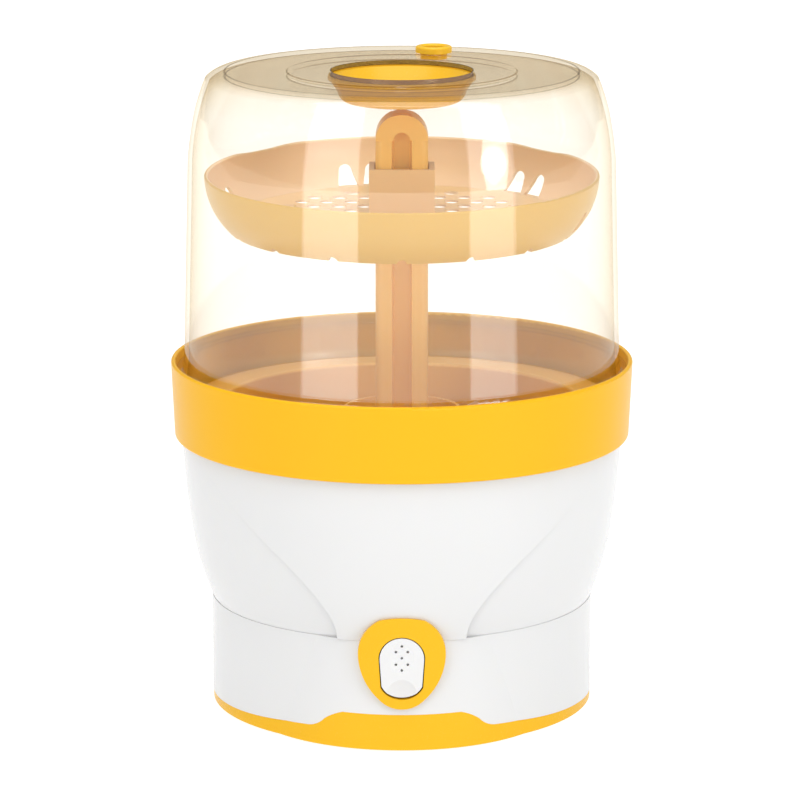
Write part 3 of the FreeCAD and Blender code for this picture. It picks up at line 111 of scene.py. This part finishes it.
def glancing(tree, power, low, high):
    """A weight that grows from low, seen square on, to high at a glancing angle."""
    layer = tree.nodes.new("ShaderNodeLayerWeight")
    layer.inputs["Blend"].default_value = 0.5
    raised = tree.nodes.new("ShaderNodeMath")
    raised.operation = "POWER"
    raised.inputs[1].default_value = power
    tree.links.new(layer.outputs["Facing"], raised.inputs[0])
    return remap(tree, raised.outputs["Value"], low, high)


def height_mask(tree, low, high):
    """A weight that rises from 0 to 1 between two heights of the object."""
    place = tree.nodes.new("ShaderNodeTexCoord")
    split = tree.nodes.new("ShaderNodeSeparateXYZ")
    tree.links.new(place.outputs["Object"], split.inputs["Vector"])
    node = tree.nodes.new("ShaderNodeMapRange")
    node.inputs["From Min"].default_value = low
    node.inputs["From Max"].default_value = high
    tree.links.new(split.outputs["Z"], node.inputs["Value"])
    return node.outputs["Result"]


def blend_colours(tree, value, first, second):
    """A colour socket between two colour sockets, by a value."""
    node = tree.nodes.new("ShaderNodeMix")
    node.data_type = "RGBA"
    tree.links.new(value, node.inputs["Factor"])
    tree.links.new(first, node.inputs["A"])
    tree.links.new(second, node.inputs["B"])
    return node.outputs["Result"]


def flat_place(tree):
    """The object's own place and normal, with the place flattened onto the floor."""
    place = tree.nodes.new("ShaderNodeTexCoord")
    flat = tree.nodes.new("ShaderNodeVectorMath")
    flat.operation = "MULTIPLY"
    flat.inputs[1].default_value = (1, 1, 0)
    tree.links.new(place.outputs["Object"], flat.inputs[0])
    return flat.outputs["Vector"], place.outputs["Normal"]


def ring_mask(tree, radius, half_width):
    """A weight of 1 in a narrow ring at a distance from the object's axis, and 0 elsewhere."""
    flat, _ = flat_place(tree)
    reach = tree.nodes.new("ShaderNodeVectorMath")
    reach.operation = "LENGTH"
    tree.links.new(flat, reach.inputs[0])
    near = tree.nodes.new("ShaderNodeMath")
    near.operation = "COMPARE"
    near.inputs[1].default_value = radius
    near.inputs[2].default_value = half_width
    tree.links.new(reach.outputs["Value"], near.inputs[0])
    return near.outputs["Value"]


def product(tree, first, second):
    """Two weights multiplied."""
    node = tree.nodes.new("ShaderNodeMath")
    node.operation = "MULTIPLY"
    tree.links.new(first, node.inputs[0])
    tree.links.new(second, node.inputs[1])
    return node.outputs["Value"]


def clear_plastic(name, side, top, sheen, shaded_bends):
    """Thin clear plastic: light goes straight through, with a tint and a warm gloss that grow when glancing.

    The side and the top each have a tint seen square on and one seen at a glancing angle. Each bend of the
    top, given as a radius, half a width and a tint, gets a fixed dark tint. That tint is partly the amber
    wall seen end on and partly painted shade on the walls of the steps and of the grip hole.
    """
    material, tree, shader = new_material(name)
    output = tree.nodes["Material Output"]
    tree.nodes.remove(shader)
    through = tree.nodes.new("ShaderNodeBsdfTransparent")
    angle = glancing(tree, 3, 0, 1)
    tints = [mix_colours(tree, angle, *pair) for pair in (side, top)]
    tint = blend_colours(tree, height_mask(tree, TOP_LOW, TOP_HIGH), *tints)
    for radius, half_width, colour in shaded_bends:
        # Painted shade: each bend of the top is darkened by a fixed tint, deeper than the amber wall seen
        # end on.
        bend = product(tree, ring_mask(tree, radius, half_width), height_mask(tree, BEND_LOW, BEND_HIGH))
        dark = mix_colours(tree, haze_of(tree), colour, tuple(0.9 * part for part in colour))
        tint = blend_colours(tree, bend, tint, dark)
    tree.links.new(tint, through.inputs["Color"])
    gloss = tree.nodes.new("ShaderNodeBsdfGlossy")
    tree.links.new(remap(tree, haze_of(tree), 0.03, 0.07), gloss.inputs["Roughness"])
    tree.links.new(mix_colours(tree, glancing(tree, 2, 0, 1), (1, 1, 1), sheen), gloss.inputs["Color"])
    mix = tree.nodes.new("ShaderNodeMixShader")
    tree.links.new(glancing(tree, 5, 0.065, 0.6), mix.inputs["Fac"])
    tree.links.new(through.outputs["BSDF"], mix.inputs[1])
    tree.links.new(gloss.outputs["BSDF"], mix.inputs[2])
    tree.links.new(mix.outputs["Shader"], output.inputs["Surface"])
    return material


def facing_out(tree):
    """A weight of 1 on faces that look away from the object's axis and 0 on those that look towards it."""
    flat, normal = flat_place(tree)
    radial = tree.nodes.new("ShaderNodeVectorMath")
    radial.operation = "NORMALIZE"
    tree.links.new(flat, radial.inputs[0])
    dot = tree.nodes.new("ShaderNodeVectorMath")
    dot.operation = "DOT_PRODUCT"
    tree.links.new(radial.outputs["Vector"], dot.inputs[0])
    tree.links.new(normal, dot.inputs[1])
    node = tree.nodes.new("ShaderNodeMapRange")
    node.inputs["From Min"].default_value = -0.2
    node.inputs["From Max"].default_value = 0.2
    tree.links.new(dot.outputs["Value"], node.inputs["Value"])
    return node.outputs["Result"]


def painted_inner_light_plastic(name, inner, outer, specular=0.4):
    """Satin plastic that is paler on its inner faces. The paler inner colour is painted light: it lifts the
    shade inside the tray and the rim, standing in for haze reflected off the dome and for light coming
    through the thin yellow plastic.
    """
    material = moulded(name, inner, inner, (0.25, 0.38), 0.00003, 0.1, specular)
    tree = material.node_tree
    shader = tree.nodes["Principled BSDF"]
    cloud = noise(tree, 14, 2)
    shades = [tuple(0.97 * part for part in colour) for colour in (inner, outer)]
    pair = [mix_colours(tree, cloud, colour, shade) for colour, shade in zip((inner, outer), shades)]
    # Painted light: faces towards the axis take the paler inner colour, and faces away take the plastic's
    # own outer colour.
    tree.links.new(blend_colours(tree, facing_out(tree), *pair), shader.inputs["Base Color"])
    return material


def metal(name, colour, rough, brushed=False):
    """Bare metal with brushed or cloudy gloss."""
    material, tree, shader = new_material(name)
    stretch = (1, 40, 1) if brushed else (1, 1, 1)
    grain = noise(tree, 120, 4, 0.6, stretch)
    dark = tuple(0.8 * part for part in colour)
    tree.links.new(mix_colours(tree, grain, dark, colour), shader.inputs["Base Color"])
    tree.links.new(remap(tree, grain, *rough), shader.inputs["Roughness"])
    shader.inputs["Metallic"].default_value = 1.0
    bump(tree, shader, grain, 0.00002)
    return material


WHITE = moulded(
    "housing_white", (0.67, 0.67, 0.668), (0.65, 0.65, 0.648), (0.16, 0.26), 0.00003, 0.05, 0.4
)
YELLOW = moulded(
    "moulded_yellow", (0.80, 0.44, 0.016), (0.77, 0.42, 0.014), (0.20, 0.32), 0.00003, 0.05, 0.12
)
INSERT = moulded(
    "insert_yellow", (0.99, 0.61, 0.17), (0.96, 0.58, 0.155), (0.25, 0.38), 0.00003, 0.1
)
# Tray: the pale peach inner colour is painted light on the inside of the tray. The deep yellow is the
# plastic's own colour.
TRAY = painted_inner_light_plastic("tray_yellow", (0.90, 0.66, 0.43), (0.70, 0.43, 0.09))
SLEEVE = moulded(
    "sleeve_yellow", (0.91, 0.64, 0.36), (0.88, 0.61, 0.34), (0.25, 0.38), 0.00003, 0.1
)
# Rim: the paler inner colour is painted light on the inside of the ring. The deeper yellow is the plastic's
# own colour.
RIM = painted_inner_light_plastic("rim_yellow", (0.98, 0.58, 0.06), (0.81, 0.43, 0.012), 0.12)
GRIP = moulded(
    "grip_yellow", (0.86, 0.52, 0.03), (0.83, 0.50, 0.027), (0.20, 0.32), 0.00003, 0.05, 0.25
)
KEY = moulded("key_white", (0.68, 0.68, 0.68), (0.66, 0.66, 0.66), (0.25, 0.35), 0.00002, 0.05)
RUBBER = moulded("foot_rubber", (0.03, 0.03, 0.03), (0.05, 0.05, 0.05), (0.6, 0.8), 0.00006)
BLACK = moulded("black_plastic", (0.02, 0.02, 0.022), (0.03, 0.03, 0.032), (0.35, 0.5), 0.00003)
PALE = moulded("pale_plastic", (0.75, 0.75, 0.72), (0.68, 0.68, 0.66), (0.3, 0.45), 0.00003)
BLUE = moulded("blue_plastic", (0.03, 0.08, 0.32), (0.025, 0.07, 0.28), (0.3, 0.4), 0.00002)
GREEN = moulded("board_green", (0.01, 0.10, 0.03), (0.015, 0.13, 0.04), (0.25, 0.4), 0.00002)
BROWN = moulded("lead_brown", (0.12, 0.04, 0.015), (0.10, 0.035, 0.012), (0.3, 0.45), 0.00002)
EARTH = moulded("lead_earth", (0.25, 0.40, 0.02), (0.20, 0.34, 0.02), (0.3, 0.45), 0.00002)
STEEL = metal("steel", (0.60, 0.59, 0.57), (0.22, 0.38), True)
ALUMINIUM = metal("aluminium", (0.78, 0.78, 0.79), (0.3, 0.45))
CLEAR = clear_plastic(
    "amber_clear",
    side=((1.0, 0.996, 0.976), (0.965, 0.91, 0.82)),
    top=((0.99, 0.97, 0.93), (0.89, 0.79, 0.61)),
    sheen=(0.75, 0.68, 0.55),
    # Dark bend tints: the amber wall seen end on, deepened with painted shade. They are darkest round the
    # grip hole.
    shaded_bends=(
        (0.0970, 0.0006, (0.50, 0.43, 0.33)),
        (0.0630, 0.0005, (0.62, 0.52, 0.37)),
        (0.0388, 0.0006, (0.30, 0.20, 0.06)),
    ),
)

LOOKS = {
    "base_shell": WHITE, "power_key": KEY, "bottom_cover": YELLOW, "button_bezel": YELLOW, "rim_ring": RIM,
    "water_basin": YELLOW, "grip_cup": GRIP, "grip_seal": GRIP, "steam_vent": GRIP, "rack_basket": INSERT,
    "drain_grid": INSERT, "bottle_cradle": INSERT, "centre_column": INSERT, "accessory_tray": TRAY,
    "tray_floor": TRAY, "tray_sleeve": SLEEVE, "dome_cover": CLEAR, "rubber_feet": RUBBER,
    "plate_gasket": PALE, "heating_plate": STEEL, "plate_clamp_ring": STEEL, "plate_screws": STEEL,
    "bottom_screws": STEEL, "pivot_pin": STEEL, "heat_spreader": ALUMINIUM, "heating_element": STEEL,
    "thermostat": BLACK, "thermal_fuse": ALUMINIUM, "board_carrier": PALE, "control_board": GREEN,
    "relay": BLUE,
    "capacitor": BLACK, "micro_switch": BLACK, "switch_plunger": PALE, "indicator_led": PALE,
    "return_spring": STEEL, "cord_gland": BLACK, "cord_clamp": PALE, "clamp_screws": STEEL,
    "terminal_block": PALE, "live_lead": BROWN, "neutral_lead": BLUE, "earth_lead": EARTH,
    "column_screw": STEEL,
}


def dress(name, material):
    """Gives a CAD node one material."""
    for slot in nodes[name].material_slots:
        slot.material = material


for node_name, look in LOOKS.items():
    dress(node_name, look)


# Floor, light and camera


def make_floor():
    """A wide white floor that glows a little, as an overlit studio sweep does."""
    material, tree, shader = new_material("studio_floor")
    cloud = noise(tree, 3, 2)
    tone = mix_colours(tree, cloud, (0.34, 0.34, 0.34), (0.36, 0.36, 0.36))
    tree.links.new(tone, shader.inputs["Base Color"])
    shader.inputs["Roughness"].default_value = 0.9
    shader.inputs["Emission Color"].default_value = (1, 1, 1, 1)
    shader.inputs["Emission Strength"].default_value = 0.82
    mesh = bpy.data.meshes.new("studio_floor")
    corners = [(x * FLOOR_HALF, y * FLOOR_HALF, 0) for x, y in ((-1, -1), (1, -1), (1, 1), (-1, 1))]
    mesh.from_pydata(corners, [], [(0, 1, 2, 3)])
    floor = bpy.data.objects.new("studio_floor", mesh)
    floor.data.materials.append(material)
    bpy.context.scene.collection.objects.link(floor)


def add_light(name, shape, size, power, place, target):
    """An area light aimed at a point."""
    light = bpy.data.lights.new(name, "AREA")
    light.shape = shape
    light.size = size[0]
    light.size_y = size[-1]
    light.energy = power
    item = bpy.data.objects.new(name, light)
    item.location = place
    item.rotation_euler = (Vector(target) - Vector(place)).to_track_quat("-Z", "Y").to_euler()
    bpy.context.scene.collection.objects.link(item)


def around(angle, height):
    """A light's place, at an angle to the left of straight in front."""
    turn = math.radians(angle)
    return -LIGHT_DISTANCE * math.sin(turn), -LIGHT_DISTANCE * math.cos(turn), height


def softbox(name, angle, width, power):
    """An upright rectangular light that faces the object's axis."""
    height = SOFTBOX_LOW + SOFTBOX_HEIGHT / 2
    add_light(name, "RECTANGLE", (width, SOFTBOX_HEIGHT), power, around(angle, height), (0, 0, height))


def round_light(name, angle, height, width, power):
    """A small round light that looks a little down at the object's axis."""
    add_light(name, "DISK", (width,), power, around(angle, height), (0, 0, height - 0.1))


def make_lights():
    """A pale surround, two tall softboxes and a round lamp in front, and a broad soft sun overhead."""
    world = bpy.data.worlds.new("studio")
    world.use_nodes = True
    world.node_tree.nodes["Background"].inputs["Color"].default_value = (1, 1, 1, 1)
    world.node_tree.nodes["Background"].inputs["Strength"].default_value = 0.40
    bpy.context.scene.world = world
    softbox("left_softbox", 36.4, 0.52, 3.0)
    softbox("right_softbox", -46.7, 0.44, 2.5)
    round_light("round_lamp", -48.4, 0.43, 0.26, 0.9)
    sun = bpy.data.lights.new("overhead", "SUN")
    sun.energy = 2.4
    sun.angle = math.radians(70)
    overhead = bpy.data.objects.new("overhead", sun)
    overhead.rotation_euler = (math.radians(12), 0, 0)
    bpy.context.scene.collection.objects.link(overhead)


def make_camera():
    """The viewpoint: a long lens in front, a little above, level left to right."""
    lens = bpy.data.cameras.new("view")
    lens.lens = 188.3
    lens.sensor_width = 36
    lens.clip_end = 60
    camera = bpy.data.objects.new("view", lens)
    camera.location = CAMERA_PLACE
    camera.rotation_euler = (math.radians(90 - CAMERA_TILT), 0, 0)
    bpy.context.scene.collection.objects.link(camera)
    bpy.context.scene.camera = camera


make_floor()
make_lights()
make_camera()
bpy.context.scene.view_settings.view_transform = "Standard"
